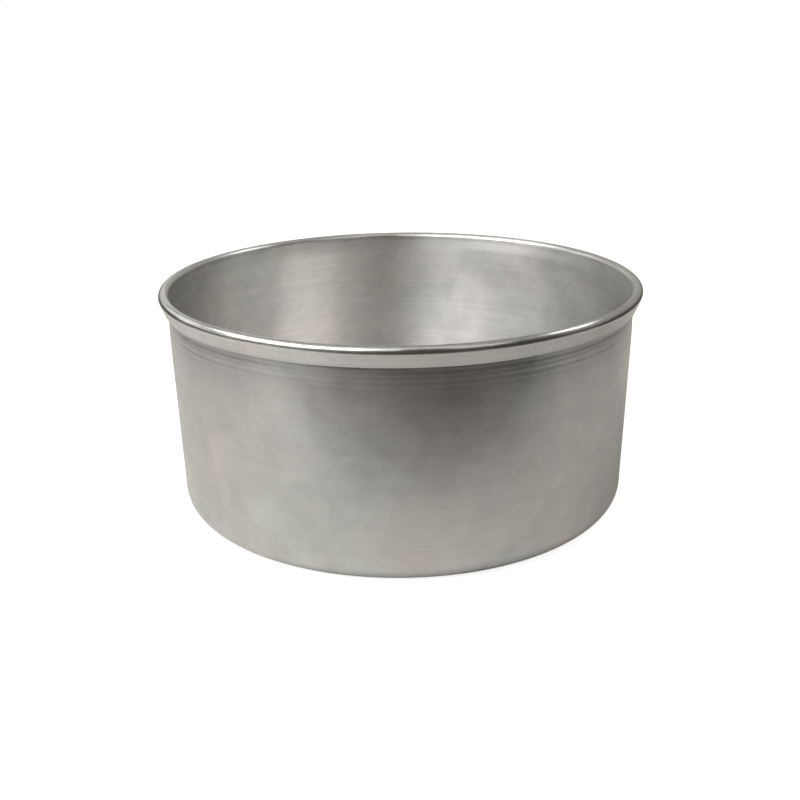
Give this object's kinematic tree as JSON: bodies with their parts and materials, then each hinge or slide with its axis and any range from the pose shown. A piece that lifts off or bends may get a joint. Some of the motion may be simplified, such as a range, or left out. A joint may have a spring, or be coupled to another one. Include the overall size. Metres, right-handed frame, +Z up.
{
  "type": "cake pan",
  "caption": "Deep round cake pan spun from sheet aluminium, with near-upright walls, a rounded base and a curled rim.",
  "frame": {"origin": "centre of the flat underside of the pan", "axes": "+Z up along the axis of the pan, out of its open mouth; +X and +Y lie in the underside, and the pan looks the same from every side"},
  "size_m": [0.2132, 0.2132, 0.099],
  "materials": {
    "aluminium": "satin"
  },
  "bodies": {
    "root": {"pan": "aluminium"}
  },
  "joints": []
}
